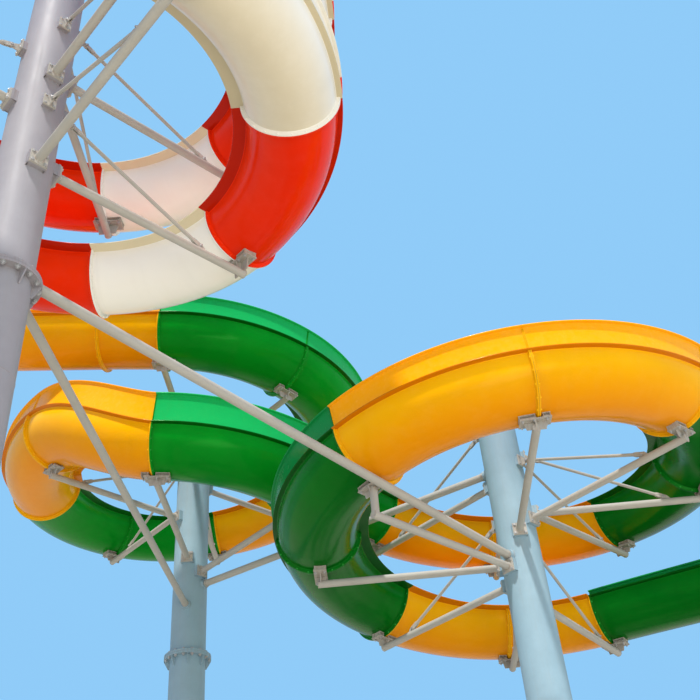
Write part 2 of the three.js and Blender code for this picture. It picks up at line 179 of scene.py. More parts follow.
def circle(radius, sides, height=0.0):
    step = 2 * pi / sides
    return [Vector((radius * cos(i * step), radius * sin(i * step), height)) for i in range(sides)]


def lathe(profile, sides):
    """A solid of revolution round local Z, from (radius, height) pairs."""
    return loft([circle(r, sides, h) for r, h in profile])


def ring_body(profile, sides):
    """A ring round local Z whose section is a closed loop of (radius, height) pairs."""
    turns = [2 * pi * i / sides for i in range(sides)]
    return loft([[Vector((r * cos(a), r * sin(a), h)) for r, h in profile] for a in turns], closed=True)


def prism(outline, low, high):
    """A plate: an outline in local X and Y between two heights."""
    return loft([[Vector((x, y, h)) for x, y in outline] for h in (low, high)])


def block(x, y, z):
    """A box from three (low, high) pairs."""
    return prism([(x[0], y[0]), (x[1], y[0]), (x[1], y[1]), (x[0], y[1])], *z)


def moved(shape, matrix):
    return [matrix @ p for p in shape[0]], shape[1]


def axes(origin, x, y, z):
    """The matrix that puts local X, Y and Z along three given directions."""
    return Matrix.Translation(origin) @ Matrix((x, y, z)).transposed().to_4x4()


def outward(place, out):
    """The matrix that puts local X along a level direction, from a point, and keeps Z up."""
    return axes(place, out, UP.cross(out), UP)


def along(start, way):
    """The matrix that puts local Z along a direction, from a point."""
    way = way.normalized()
    x = way.orthogonal().normalized()
    return axes(start, x, way.cross(x), way)


def pipe(start, end, radius, sides=PIPE_SIDES):
    """A round bar with small chamfers."""
    chamfer = min(0.002, radius / 8)
    length = (end - start).length
    ends = [(radius - chamfer, 0), (radius, chamfer)]
    profile = ends + [(r, length - h) for r, h in reversed(ends)]
    return moved(lathe(profile, sides), along(start, end - start))


def weld(start, way, radius, size=0.006):
    """A fillet weld round a pipe where it meets a face."""
    profile = [(radius - 0.002, -0.001), (radius + size, -0.001), (radius + size * 0.6, size * 0.55),
               (radius - 0.002, size)]
    return moved(ring_body(profile, 36), along(start, way))


def placed(name, data):
    made = bpy.data.objects.new(name, data)
    bpy.context.scene.collection.objects.link(made)
    return made


class Body:
    """Collects shapes into one mesh. A point has a stain from 0 to 1 and, on flumes, its flow and marks."""

    def __init__(self):
        self.points, self.faces, self.stains, self.flow, self.marks = [], [], [], [], []

    def add(self, shape, stain=0.1, flow=None, marks=None):
        points, faces = shape
        n = len(self.points)
        self.points += points
        self.faces += [tuple(i + n for i in f) for f in faces]
        self.stains += [stain] * len(points)
        self.flow += flow or [p.copy() for p in points]
        self.marks += marks or [Vector()] * len(points)

    def put(self, shape, at, stain):
        self.add(moved(shape, at), stain)

    def piece(self, name, look, slot, node=None, bevel=0.0, sharp=35):
        mesh = bpy.data.meshes.new(name)
        mesh.from_pydata(self.points, [], self.faces)
        work = bmesh.new()
        work.from_mesh(mesh)
        bmesh.ops.recalc_face_normals(work, faces=work.faces)
        work.to_mesh(mesh)
        work.free()
        mesh.polygons.foreach_set("use_smooth", [True] * len(mesh.polygons))
        mesh.set_sharp_from_angle(angle=radians(sharp))
        for label, kind, values in (("stain", "FLOAT", self.stains), ("flow", "FLOAT_VECTOR", self.flow),
                                    ("marks", "FLOAT_VECTOR", self.marks)):
            layer = mesh.attributes.new(label, kind, "POINT")
            flat = values if kind == "FLOAT" else [c for v in values for c in v]
            layer.data.foreach_set("value" if kind == "FLOAT" else "vector", flat)
        mesh.materials.append(look)
        piece = placed(name, mesh)
        if bevel:
            edge = piece.modifiers.new("edges", "BEVEL")
            edge.width, edge.segments, edge.limit_method = bevel, 2, "ANGLE"
            edge.angle_limit = radians(40)
            edge.harden_normals = True
        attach(piece, "root")
        if node:
            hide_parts(node)


# Fasteners

def hexagon(size, height):
    return loft([circle(size, 6), circle(size, 6, height * 0.82), circle(size * 0.88, 6, height)])


def bolt_head(body, place, way, size):
    """Washer and hexagon head of a bolt whose shank has this diameter."""
    at = along(place, way)
    body.put(lathe([(size * 1.05, 0), (size * 1.05, size * 0.16)], 18), at, 0.45)
    body.put(hexagon(size * 0.9, size * 0.65), at @ Matrix.Translation((0, 0, size * 0.16)), 0.3)


def bolt_nut(body, place, way, size):
    """Washer, nut and the end of the thread."""
    bolt_head(body, place, way, size)
    thread = [(size * 0.5, 0), (size * 0.5, size * 1.25), (size * 0.42, size * 1.35)]
    body.put(lathe(thread, 12), along(place, way), 0.35)


def through_bolt(body, place, way, thick, size):
    """A bolt through plates of a given thickness that are centred on place."""
    bolt_head(body, place + way * thick / 2, way, size)
    bolt_nut(body, place - way * thick / 2, -way, size)


def four_heads(body, at, centre, across, up, size):
    """Bolt heads at the corners of an upright plate that faces out along local X."""
    for t in (-across, across):
        for h in (-up, up):
            bolt_head(body, at @ (centre + Vector((0, t, h))), at.to_3x3() @ OUT, size)


# Plan and fall of the flumes

def toward(azimuth):
    """Plan direction of an azimuth: 0 looks to -Y, 90 to -X."""
    a = radians(azimuth)
    return Vector((-sin(a), -cos(a)))


def bearing(a, b):
    return degrees(atan2(-(b.x - a.x), -(b.y - a.y)))


Plan = namedtuple("Plan", "at length steps roll")
Station = namedtuple("Station", "place right up forward")
Joint = namedtuple("Joint", "before after")


def no_roll(azimuth):
    return 0.0


def middle_roll(azimuth):
    share = (azimuth - ROLL_FROM) / (ROLL_TO - ROLL_FROM)
    return ROLL * sin(pi * share) if 0 < share < 1 else 0.0


def turn_plan(centre, radius, start, end, down, roll=no_roll):
    """A bay round a column. down is 1 where the azimuth grows downhill. Roll lifts the right side."""
    def azimuth(t):
        return start + (end - start) * t

    def at(t):
        out = toward(azimuth(t))
        return centre + radius * out, -down * out
    steps = max(8, round(abs(end - start) / BAY_TURN * TURN_STEPS))
    return Plan(at, radians(abs(end - start)) * radius, steps, lambda t: roll(azimuth(t)))


def straight_plan(a, b):
    way = (b - a).normalized()
    right = Vector((way.y, -way.x))
    return Plan(lambda t: (a + (b - a) * t, right), (b - a).length, STRAIGHT_STEPS, no_roll)


class Bay:
    """One bay between two joints. Its shoulder falls on a smooth curve with a given slope at each joint."""

    def __init__(self, plan, radius, z0, slope0, z1, slope1):
        self.plan, self.radius = plan, radius
        self.a, self.b, self.rise, self.z0 = slope0 * plan.length, slope1 * plan.length, z1 - z0, z0
        self.walls = (0, 0, 0, 0)
        self.start = 0.0

    def station(self, t, rolled=True):
        place, right = self.plan.at(t)
        bend = 3 * self.rise - 2 * self.a - self.b
        twist = self.a + self.b - 2 * self.rise
        z = self.z0 + self.a * t + bend * t * t + twist * t ** 3
        slope = (self.a + 2 * bend * t + 3 * twist * t * t) / self.plan.length
        ahead = Vector((-right.y, right.x, 0))
        forward = (ahead + UP * slope).normalized()
        right = Vector((right.x, right.y, 0))
        if rolled:
            right.rotate(Matrix.Rotation(-self.plan.roll(t), 3, forward))
        return Station(Vector((place.x, place.y, z)), right, right.cross(forward), forward)


def level(h):
    return EYE_Z + TURN_R * h


def shoulder_at(h):
    return level(h) + OVER_ARM


def flume(plans, levels, radius):
    """Bays of a whole flume from its plans and the shoulder level at each joint."""
    falls = [(levels[i + 1] - levels[i]) / p.length for i, p in enumerate(plans)]
    slopes = [falls[0]] + [max(a, b) for a, b in zip(falls, falls[1:])] + [falls[-1]]
    bays, run = [], 0.0
    for i, plan in enumerate(plans):
        bay = Bay(plan, radius, levels[i], slopes[i], levels[i + 1], slopes[i + 1])
        bay.start = run
        run += plan.length
        bays.append(bay)
    return bays


# Flume section

def rounded(corners, steps=3):
    """A closed outline from (u, w, radius) corners, with an arc at each corner that has a radius."""
    points = []
    for i, (u, w, radius) in enumerate(corners):
        here = Vector((u, w))
        if radius == 0:
            points.append(here)
            continue
        before = (Vector(corners[i - 1][:2]) - here).normalized()
        after = (Vector(corners[(i + 1) % len(corners)][:2]) - here).normalized()
        half = before.angle(after) / 2
        reach = radius / tan(half)
        centre = here + (before + after).normalized() * radius / sin(half)
        start, end = here + before * reach - centre, here + after * reach - centre
        sweep = start.angle_signed(end)
        points += [centre + rotated(start, -sweep * k / steps) for k in range(steps + 1)]
    return points


def rotated(v, angle):
    c, s = cos(angle), sin(angle)
    return Vector((c * v.x - s * v.y, s * v.x + c * v.y))


def trough_arc(radius, start, end):
    turns = [start + (end - start) * i / ROUND_STEPS for i in range(1, ROUND_STEPS)]
    return [(radius * sin(t), -radius * cos(t), 0) for t in turns]


def side_corners(radius, height, side):
    """Lip and wall on one side, from the outer trough to the inner one."""
    inner = radius - SHELL
    edge = radius + (PLAIN_LIP if height == 0 else SHOULDER)
    lip = [(radius, -SHELL, ROUND), (edge, -SHELL, LIP_ROUND), (edge, 0, LIP_ROUND)]
    if height == 0:
        corners = lip + [(inner, 0, ROUND)]
    else:
        lean = BANK_LEAN * height / BANK
        corners = lip + [
            (radius + 0.002, 0, ROUND), (radius + lean, height - SHELL, 0.01),
            (radius + lean + RIM, height - SHELL, LIP_ROUND), (radius + lean + RIM, height, LIP_ROUND),
            (inner + lean, height, ROUND), (inner, 0, 0.02),
        ]
    return [(side * u, w, r) for u, w, r in corners]


def section(radius, left, right):
    half = pi / 2
    outer = trough_arc(radius, -half, half)
    inner = trough_arc(radius - SHELL, half, -half)
    return rounded(outer + side_corners(radius, right, 1) + inner + side_corners(radius, left, -1)[::-1])


def on_station(station, u, w, a=0.0):
    return station.place + station.right * u + station.up * w + station.forward * a


def shell(body, bay):
    """The moulded shell of one bay, with marks for joint grime, ride wear and height in the section."""
    left0, right0, left1, right1 = bay.walls
    margin = SEAM / bay.plan.length
    rings, flow, marks = [], [], []
    for i in range(bay.plan.steps + 1):
        t = i / bay.plan.steps
        station = bay.station(min(max(t, margin), 1 - margin))
        outline = section(bay.radius, left0 + (left1 - left0) * t, right0 + (right1 - right0) * t)
        rings.append([on_station(station, p.x, p.y) for p in outline])
        run = t * bay.plan.length
        joint = exp(-min(run, bay.plan.length - run) / JOINT_FADE)
        around, last = 0.0, outline[0]
        for p in outline:
            around += (p - last).length
            last = p
            reach = p.length if p.y < 0 else abs(p.x) - BANK_LEAN * p.y / BANK
            inside = 1.0 if reach < bay.radius - SHELL / 2 else 0.0
            wear = inside * max(0.0, 1 - abs(p.x) / WEAR_HALF) if p.y < -0.01 else 0.0
            flow.append(Vector((bay.start + run, around, inside)))
            height = 0.5 + 0.5 * p.y / bay.radius
            # beyond the trough there is a lip, or a wall above it
            if abs(p.x) > bay.radius + 0.003:
                height = SHADED_LIP_MARK if p.y < 0.005 else WALL_MARK
            marks.append(Vector((joint, wear, height)))
    body.add(loft(rings), 0.0, flow, marks)


def bead(body, station, line, profile, run):
    """A raised strip along a line of ((u, w), normal) points; its profile is (along, out) pairs."""
    rings = []
    for (u, w), (nu, nw) in line:
        rings.append([on_station(station, u + nu * out, w + nw * out, a) for a, out in profile])
    flow = [Vector((run + a, i * 0.03, 0)) for i in range(len(rings)) for a, _ in profile]
    body.add(loft(rings), 0.0, flow, [Vector((JOINT_GRIME, 0, BEAD_MARK))] * len(flow))


def trough_line(radius, edge=88.6, steps=44):
    line = []
    for i in range(steps + 1):
        t = radians(-edge + 2 * edge * i / steps)
        n = (sin(t), -cos(t))
        line.append(((radius * n[0], radius * n[1]), n))
    return line


def wall_line(radius, height, side):
    lean = BANK_LEAN * height / BANK
    foot, head = (side * (radius + 0.001), -0.004), (side * (radius + lean), height - SHELL + 0.002)
    return [(foot, (side, 0)), (head, (side, 0))]


# Sections of the beads, as (along, out) pairs
FLANGE = [(0.034, -0.004), (0.025, 0.004), (0.0212, 0.011), (0.0205, 0.030), (0.0165, 0.0385),
          (0.008, 0.0415), (0.0014, 0.0400), (0.0014, -0.004)]
WALL_SEAM = [(0.015, -0.003), (0.011, 0.008), (0.006, 0.011), (0.0014, 0.0095), (0.0014, -0.003)]


def joint_half(body, bay, end):
    """The flange at one end of a bay: end is 0 at its start and 1 at its lower end."""
    station = bay.station(end)
    side = 1 if end == 0 else -1
    run = bay.start + end * bay.plan.length
    bead(body, station, trough_line(bay.radius), [(side * a, b) for a, b in FLANGE], run)
    for height, hand in ((bay.walls[2 * end], -1), (bay.walls[2 * end + 1], 1)):
        if height:
            line = wall_line(bay.radius, height, hand)
            bead(body, station, line, [(side * a, b) for a, b in WALL_SEAM], run)


def joint_caps(body, bay, end):
    """Moulded caps over the bolts on the outer face of one joint flange."""
    station = bay.station(end)
    way = station.forward if end == 0 else -station.forward
    cap = lathe([(0.011, -0.004), (0.011, 0.003), (0.008, 0.0065), (0.003, 0.008)], 14)
    out = bay.radius + JOINT_ROW
    for turn in JOINT_BOLTS:
        t = radians(turn)
        place = on_station(station, out * sin(t), -out * cos(t)) + way * FLANGE_FACE
        marks = [Vector((CAP_GRIME, 0, BEAD_MARK))] * len(cap[0])
        body.add(moved(cap, along(place, way)), 0.0, None, marks)


def joint_seal(body, bay):
    station = bay.station(0)
    profile = [(-SEAM, 0.001 - SHELL), (SEAM, 0.001 - SHELL), (SEAM, 0.0385), (-SEAM, 0.0385)]
    bead(body, station, trough_line(bay.radius), profile, bay.start)


# Materials

class Nodes:
    """Short names for the shader nodes used below."""

    def __init__(self, name):
        self.look = bpy.data.materials.new(name)
        self.look.use_nodes = True
        self.tree = self.look.node_tree
        self.shader = self.tree.nodes["Principled BSDF"]

    def node(self, kind, inputs=None, **values):
        made = self.tree.nodes.new("ShaderNode" + kind)
        for key, value in values.items():
            setattr(made, key, value)
        self.feed(made.inputs, inputs or {})
        return made

    def feed(self, sockets, sources):
        """Links sockets to the outputs given, and sets them to the values given."""
        for key, source in sources.items():
            if hasattr(source, "links"):
                self.tree.links.new(source, sockets[key])
            else:
                sockets[key].default_value = source

    def place(self, scale=(1, 1, 1)):
        return self.stretch(self.node("TexCoord").outputs["Object"], scale)

    def layer(self, name):
        return self.node("Attribute", attribute_name=name)

    def parts(self, vector):
        return self.node("SeparateXYZ", {0: vector}).outputs

    def stretch(self, vector, scale):
        return self.node("Mapping", {"Vector": vector, "Scale": scale}).outputs["Vector"]

    def noise(self, vector, scale, detail=4.0, rough=0.55):
        inputs = {"Vector": vector, "Scale": scale, "Detail": detail, "Roughness": rough}
        return self.node("TexNoise", inputs).outputs["Fac"]

    def span(self, value, low, high, to_low=0.0, to_high=1.0):
        inputs = {"Value": value, "From Min": low, "From Max": high, "To Min": to_low, "To Max": to_high}
        return self.node("MapRange", inputs).outputs["Result"]

    def cloud(self, scale, detail, low, high, rough=0.55, at=None):
        """Noise in the piece's own space, or in a given one, spread to 0 at low and 1 at high."""
        return self.span(self.noise(at or self.place(), scale, detail, rough), low, high)

    def calc(self, kind, a, b):
        return self.node("Math", {0: a, 1: b}, operation=kind).outputs[0]

    def times(self, a, b):
        return self.calc("MULTIPLY", a, b)

    def blend(self, share, a, b):
        return self.node("Mix", {"Factor": share, "A": a, "B": b}, data_type="RGBA").outputs["Result"]

    def bump(self, height, distance, below=None):
        inputs = {"Distance": distance, "Height": height}
        if below:
            inputs["Normal"] = below
        return self.node("Bump", inputs).outputs["Normal"]

    def finish(self, colour, roughness, normal, settings=None):
        inputs = {"Base Color": colour, "Roughness": roughness, "Normal": normal}
        self.feed(self.shader.inputs, {**inputs, **(settings or {})})
        return self.look


def tone(colour, factor, grey=0.0):
    """A colour made lighter or darker, and drawn towards its own grey."""
    mean = sum(colour) / 3
    return tuple(min(1.0, (c + (mean - c) * grey) * factor) for c in colour) + (1.0,)


# Tones of each gel coat: the outside; painted shade for the bottom of the trough and the lips; a painted
# glow for the outer faces of the walls, as of sunlight coming through; and painted sunlight for the inside
GEL_TONES = {
    "orange_gelcoat": ((1.0, 0.49, 0.002), (0.78, 0.22, 0.001), (1.0, 0.42, 0.002), (1.0, 0.58, 0.012)),
    "green_gelcoat": ((0.001, 0.17, 0.01), (0.001, 0.1, 0.005), (0.006, 0.28, 0.075), (0.03, 0.36, 0.05)),
    "red_gelcoat": ((0.98, 0.032, 0.001), (0.8, 0.02, 0.001), (0.95, 0.04, 0.004), (0.98, 0.05, 0.01)),
    "white_gelcoat": ((0.9, 0.88, 0.82), (0.61, 0.53, 0.35), (0.86, 0.82, 0.72), (0.92, 0.89, 0.83)),
}
# Steel paints. The column paint carries painted sky light and shade: it is bluer and darker than the pale
# steel paint. The left column's greyer copy carries painted shade and light thrown on it by the red and
# white ring.
ARM_PAINT, SKY_LIT_COLUMN_PAINT, SHADED_FLUME_LIT_PAINT = (0.44, 0.43, 0.39), (0.29, 0.44, 0.53), (0.33, 0.325, 0.36)
ARM_STREAKS, COLUMN_STREAKS = (5, 5, 2.5), (24, 24, 1.1)


def gelcoat(slot, low, high, lip, painted_sun=1.0, shade_depth=0.75):
    """Glossy gel coat with slow colour drift, streaks, joint grime and a worn ride path, with painted shade
    at the bottom of the trough and on the lips, a painted glow on the walls and painted sunlight inside.

    low and high bound the drift, lip is the tone of the painted shade on the lips, lift brightens the whole
    as painted sunlight and depth is the share of the painted shade at the bottom of the trough. Gives the
    material and its slot.
    """
    n = Nodes(slot)
    outer_tone, shade_tone, glow_tone, sunlit_tone = GEL_TONES[slot]
    base = tone(outer_tone, painted_sun)[:3]
    flow = n.layer("flow").outputs["Vector"]
    inside = n.parts(flow)[2]
    joint, wear, height = n.parts(n.layer("marks").outputs["Vector"])
    wall = n.span(height, 0.6, 1.0)
    drift = n.cloud(1.1, 3, 0.32, 0.68)
    colour = n.blend(drift, tone(base, low), tone(base, high))
    # painted shade: darker towards the bottom of the trough, where less light reaches
    bottom_shade = n.span(height, 0.35, 0.0, 0.0, shade_depth)
    colour = n.blend(bottom_shade, colour, tone(shade_tone, painted_sun))
    # painted sunlight: a lighter, yellower tone on the inside faces
    colour = n.blend(n.times(inside, 0.9), colour, tone(sunlit_tone, 1.0))
    cloud = n.cloud(7.0, 6, 0.45, 0.8, 0.7)
    colour = n.blend(n.times(cloud, 0.10), colour, tone(base, 1.1, 0.2))
    # painted glow: the outer faces of the walls take a lighter tone, as of sunlight coming through them
    glow = n.times(wall, n.span(inside, 0.0, 1.0, 0.85, 0.0))
    colour = n.blend(glow, colour, tone(glow_tone, painted_sun))
    # painted shade on the lips, whose undersides face down
    colour = n.blend(n.span(height, -0.5, -1.0, 0.0, 0.9), colour, tone(shade_tone, lip))
    chalk = n.times(wall, n.cloud(16.0, 5, 0.35, 0.75))
    colour = n.blend(n.times(chalk, 0.12), colour, tone(base, 1.2, 0.25))
    streak = n.cloud(1.0, 4, 0.52, 0.85, at=n.stretch(flow, (7, 0.7, 1)))
    fine = n.cloud(40.0, 5, 0.35, 0.7, 0.65)
    dirt = n.times(streak, n.span(joint, 0.0, 1.0, 0.07, 0.45))
    rim = n.times(n.calc("POWER", joint, 3.0), fine)
    dirt = n.calc("ADD", dirt, n.times(rim, 0.2))
    soil = tuple(0.5 * c + 0.5 * d for c, d in zip(base, SOIL)) + (1.0,)
    colour = n.blend(n.calc("MINIMUM", dirt, 0.6), colour, soil)
    tracks = n.cloud(1.0, 4, 0.42, 0.72, at=n.stretch(flow, (0.8, 26, 1)))
    worn = n.times(wear, tracks)
    colour = n.blend(n.times(worn, 0.22), colour, tone(base, 1.3, 0.45))
    gloss = n.span(drift, 0, 1, 0.14, 0.22)
    for cover, share in ((dirt, 0.45), (worn, 0.22), (chalk, 0.12)):
        gloss = n.calc("ADD", gloss, n.times(cover, share))
    wave = n.bump(n.noise(n.place(), 2.3, 2), 0.006)
    ripple = n.bump(n.noise(n.stretch(flow, (5, 2.2, 1)), 1.0, 3), 0.0016, wave)
    peel = n.bump(n.noise(n.place(), 150.0, 2), 0.00012, ripple)
    shine = {"Coat Weight": 0.03, "Coat Roughness": 0.06, "Specular IOR Level": 0.2,
             "Specular Tint": tone(base, 1.0 / max(base), 0.25)}
    return n.finish(colour, gloss, peel, shine), slot


def paint(name, base, streaks, wave):
    """Satin paint on steel: mottle, rain streaks down the faces, rust that bleeds at welds and bolts.

    streaks is the scale of the streaks along X, Y and Z, and wave the height of the swell.
    """
    n = Nodes(name)
    stain = n.layer("stain").outputs["Fac"]
    mottle = n.cloud(3.2, 5, 0.3, 0.7, 0.6)
    colour = n.blend(mottle, tone(base, 0.93), tone(base, 1.05))
    streak = n.cloud(1.0, 5, 0.5, 0.8, 0.6, n.place(streaks))
    colour = n.blend(n.times(streak, 0.14), colour, RAIN_DIRT)
    speck = n.cloud(85.0, 6, 0.6, 0.72, 0.7)
    bleed = n.cloud(1.0, 4, 0.42, 0.72, 0.65, n.place((60, 60, 9)))
    rust = n.times(stain, n.calc("MAXIMUM", bleed, speck))
    colour = n.blend(n.calc("MINIMUM", rust, 0.75), colour, PAINT_RUST)
    rough = n.calc("ADD", n.span(mottle, 0, 1, 0.50, 0.62), n.times(rust, 0.3))
    rough = n.calc("ADD", rough, n.times(streak, 0.12))
    swell = n.bump(n.noise(n.place(), 9.0, 3), wave)
    peel = n.bump(n.noise(n.place(), 240.0, 2), 0.00003, swell)
    flake = n.bump(rust, 0.0007, peel)
    return n.finish(colour, rough, flake, {"Specular IOR Level": 0.3})


def zinc():
    """Galvanised fasteners: mottled grey metal with a little rust."""
    n = Nodes("galvanised_bolts")
    stain = n.layer("stain").outputs["Fac"]
    spangle = n.cloud(120.0, 4, 0.35, 0.65)
    colour = n.blend(spangle, (0.42, 0.43, 0.44, 1), (0.63, 0.64, 0.65, 1))
    spots = n.cloud(70.0, 5, 0.5, 0.68, 0.7)
    rust = n.times(stain, spots)
    colour = n.blend(rust, colour, ZINC_RUST)
    rough = n.span(spangle, 0, 1, 0.38, 0.58)
    return n.finish(colour, rough, n.bump(spangle, 0.0003), {"Metallic": 0.75})


def sealant():
    """Grey joint sealant, a little uneven and dusty."""
    n = Nodes("joint_sealant")
    dust = n.cloud(30.0, 5, 0.35, 0.7)
    colour = n.blend(dust, (0.05, 0.05, 0.05, 1), (0.16, 0.15, 0.14, 1))
    return n.finish(colour, n.span(dust, 0, 1, 0.6, 0.85), n.bump(dust, 0.0004))


ORANGE = gelcoat("orange_gelcoat", 0.93, 1.05, 0.75)
GREEN = gelcoat("green_gelcoat", 0.82, 1.15, 0.7)
SUNLIT_GREEN = gelcoat("green_gelcoat", 0.85, 1.15, 0.8, 1.8)  # a copy of the green gel coat with painted sunlight, for the flume round the middle column
RED = gelcoat("red_gelcoat", 0.88, 1.1, 0.55)
WHITE = gelcoat("white_gelcoat", 0.95, 1.03, 0.95)
BACKLIT_WHITE = gelcoat("white_gelcoat", 1.0, 1.05, 1.2, 1.12, 0.1)  # a copy of the white gel coat for the far bays, with painted light coming through and less painted shade
ARM_LOOK = paint("arm_paint", ARM_PAINT, ARM_STREAKS, 0.0002)
COLUMN_LOOK = paint("column_paint", SKY_LIT_COLUMN_PAINT, COLUMN_STREAKS, 0.0008)
# the left column's copy of the column paint, with painted shade and light thrown on it by the red and white
# ring
SHADED_FLUME_LIT_LOOK = paint("column_paint_shaded_flume_lit", SHADED_FLUME_LIT_PAINT, COLUMN_STREAKS, 0.0008)
BOLT_LOOK = zinc()
SEAL_LOOK = sealant()


# The two flumes

def wall_heights(k, middle_start, crossing, right_end, last):
    """Walls at the start and end of bay k: left, right, left, right."""
    # the wall grows on the way to the steep drop, bays 6 to 8 of the middle turn
    special = {
        0: (LOW, LOW, LOW, LOW),
        middle_start - 1: (LOW, LOW, LOW, BANK),
        middle_start + 6: (0, BANK, 0, BANK_HIGH),
        middle_start + 7: (0, BANK_HIGH, 0, BANK_HIGH),
        middle_start + 8: (LOW, BANK_HIGH, LOW, BANK_HIGH),
        crossing: (LOW, BANK_HIGH, BANK, LOW),
        last: (LOW, LOW, LOW, LOW),
    }
    if k in special:
        return special[k]
    if k < crossing:
        return 0, BANK, 0, BANK
    return (BANK, 0, BANK, 0) if k < right_end else (BANK, LOW, LOW, LOW)


cross_angle = degrees(acos((TURN_R + MIDDLE_R) / (MIDDLE - RIGHT).length))
middle_az = [-BAY_TURN * i for i in range(9)] + [bearing(MIDDLE, RIGHT) + cross_angle - 360]
right_az = [bearing(RIGHT, MIDDLE) + cross_angle - 360, *(BAY_TURN * i - 180 for i in range(9)), RIGHT_END]
middle_plans = [turn_plan(MIDDLE, MIDDLE_R, a, b, -1, middle_roll) for a, b in zip(middle_az, middle_az[1:])]
right_plans = [turn_plan(RIGHT, TURN_R, a, b, 1) for a, b in zip(right_az, right_az[1:])]


def onward(end, length):
    place, right = end
    return place + Vector((-right.y, right.x)) * length


bay_length = TURN_R * radians(BAY_TURN)
first, last_end = middle_plans[0].at(0), right_plans[-1].at(1)
entry = [onward(first, -ENTRY_RUN - bay_length), onward(first, -ENTRY_RUN), first[0]]
leave = [last_end[0], onward(last_end, bay_length), onward(last_end, 2 * bay_length)]
plans = [
    *map(straight_plan, entry, entry[1:]), *middle_plans,
    straight_plan(middle_plans[-1].at(1)[0], right_plans[0].at(0)[0]), *right_plans,
    *map(straight_plan, leave, leave[1:]),
]
levels = [shoulder_at(h) for h in ENTRY_LEVELS + MIDDLE_LEVELS + RIGHT_LEVELS + EXIT_LEVELS]
slide = flume(plans, levels, SLIDE_R)
MIDDLE_START = 2
CROSSING = MIDDLE_START + len(middle_plans)
RIGHT_START = CROSSING + 1
for k, bay in enumerate(slide):
    bay.walls = wall_heights(k, MIDDLE_START, CROSSING, RIGHT_START + len(right_plans), len(slide) - 1)

ring_az = [BAY_TURN * i - 225 for i in range(RING_BAYS + 1)]
ring = flume([turn_plan(LEFT, TURN_R, a, b, 1) for a, b in zip(ring_az, ring_az[1:])],
             [shoulder_at(h) for h in RING_LEVELS], RING_R)
for bay in ring:
    bay.walls = (BANK, 0, BANK, 0)


def flume_run(node, bays, coat):
    """The shells and flanges of one node's bays, and the caps on their bolts."""
    gel, caps = Body(), Body()
    for bay in bays:
        shell(gel, bay)
        for end in (0, 1):
            joint_half(gel, bay, end)
            joint_caps(caps, bay, end)
    gel.piece("gel_" + node, *coat, node, sharp=40)
    caps.piece("caps_" + node, *coat, sharp=60)


def two_tone(index, green=GREEN):
    return green if index % 2 == 0 else ORANGE


flume_run("flume_entry", slide[:MIDDLE_START], ORANGE)
for k in range(4):
    flume_run(f"flume_mid_{k + 1}", slide[MIDDLE_START + 2 * k:][:2], two_tone(k, SUNLIT_GREEN))
flume_run("flume_crossing", slide[CROSSING - 1:][:2], SUNLIT_GREEN)
for k in range(5):
    flume_run(f"flume_right_{k + 1}", slide[RIGHT_START + 2 * k:][:2], two_tone(k + 1))
flume_run("flume_exit", slide[-2:], GREEN)
for k, bay in enumerate(ring):
    white = BACKLIT_WHITE if toward((ring_az[k] + ring_az[k + 1]) / 2).y > 0.5 else WHITE
    flume_run(f"ring_bay_{k + 1}", [bay], RED if k % 2 == 0 else white)
for name, bays, slot in (("seals_slide", slide, "green_gelcoat"), ("seals_ring", ring, "white_gelcoat")):
    seals = Body()
    for bay in bays[1:]:
        joint_seal(seals, bay)
    seals.piece(name, SEAL_LOOK, slot)


# Steelwork. An arm's own frame has X out from the column, Y across and Z up.

UPRIGHT = axes(Vector(), OUT, UP, -ACROSS)  # outline in X and Z, thickness along -Y


def near_joint(joint, a):
    """The flume's station at a distance along it from a joint. Saddles stay upright, so it isn't rolled."""
    if a < 0 and joint.before or not joint.after:
        return joint.before.station(1 + a / joint.before.plan.length, False)
    return joint.after.station(a / joint.after.plan.length, False)


def radius_of(joint):
    return (joint.after or joint.before).radius


def level_plate(station, half, low, high, start, end):
    """A plate under a flume, between two levels of its section and two places along it."""
    outline = ((-half, low), (half, low), (half, high), (-half, high))
    return loft([[on_station(station, u, w, a) for u, w in outline] for a in (start, end)])


def saddle_shoe(body, joint, start, end):
    """A curved strap under the trough on two webs and end plates, welded to a foot plate."""
    middle, radius = near_joint(joint, 0), radius_of(joint)
    along_shoe = [start + (end - start) * i / 4 for i in range(5)]
    across = [SHOE_HALF * (i / 5 - 1) for i in range(11)]

    def under(u, a, down=0.001):
        size = radius + down
        return on_station(near_joint(joint, a), u, -sqrt(size * size - u * u))

    def foot(point):
        height = (point - middle.place).dot(middle.up) + radius + SADDLE_DROP - 0.008
        return point - middle.up * height

    def wall(us, places):
        body.add(loft([[under(u, a, 0.008) for u in us] + [foot(under(u, a)) for u in reversed(us)]
                       for a in places]), 0.55)

    body.add(loft([[under(u, a) for u in across] + [under(u, a, 0.010) for u in reversed(across)]
                   for a in along_shoe]), 0.5)
    for u in (-0.032, 0.032):
        wall((u - 0.004, u + 0.004), along_shoe)
    inset = 0.004 if end > start else -0.004
    for a in (start + 2 * inset, end - 2 * inset):
        wall(across, (a - inset, a + inset))
    top = -radius - SADDLE_DROP
    body.add(level_plate(middle, SHOE_HALF + 0.003, top, top + 0.01, start, end), 0.5)


